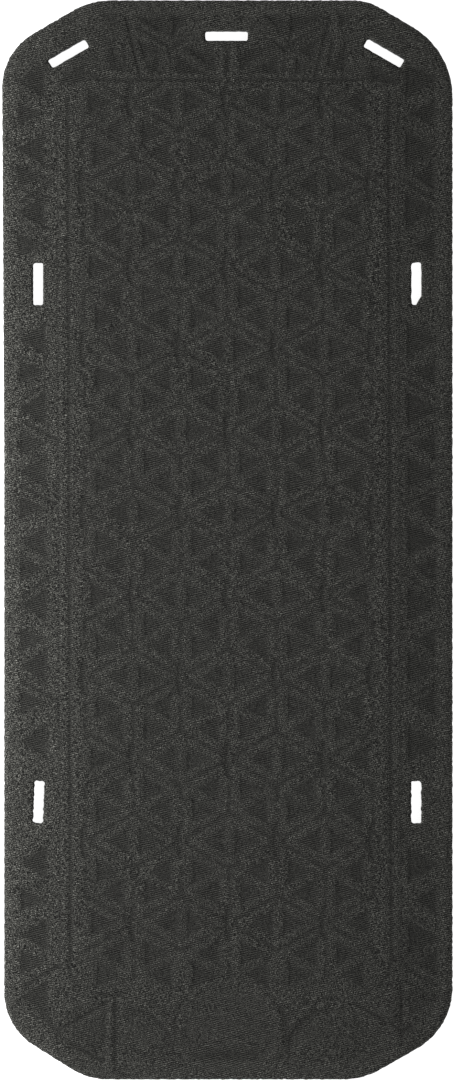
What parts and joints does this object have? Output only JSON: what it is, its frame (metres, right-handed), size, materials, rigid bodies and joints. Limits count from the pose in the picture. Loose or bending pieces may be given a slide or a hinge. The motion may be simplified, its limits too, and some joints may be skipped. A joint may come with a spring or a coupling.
{
  "type": "back protector",
  "caption": "Long chamfered impact panel for the back: moulded foam core with triangular cells under a knitted face, with strap slots round the edge.",
  "frame": {"origin": "middle of the underside, on the surface that the panel lies on", "axes": "+X across the back to the right of the picture, +Y along the spine to the shoulder end with the angled slots, +Z out of the fabric face"},
  "size_m": [0.2005, 0.48, 0.0143],
  "materials": {
    "moulded_foam": "matt black closed-cell foam",
    "knit_laminate": "charcoal melange knit, fine crosswise ribs, laminated and sunk over the cells"
  },
  "bodies": {
    "root": {"impact_core": "moulded_foam", "face_fabric": "knit_laminate"}
  },
  "joints": []
}
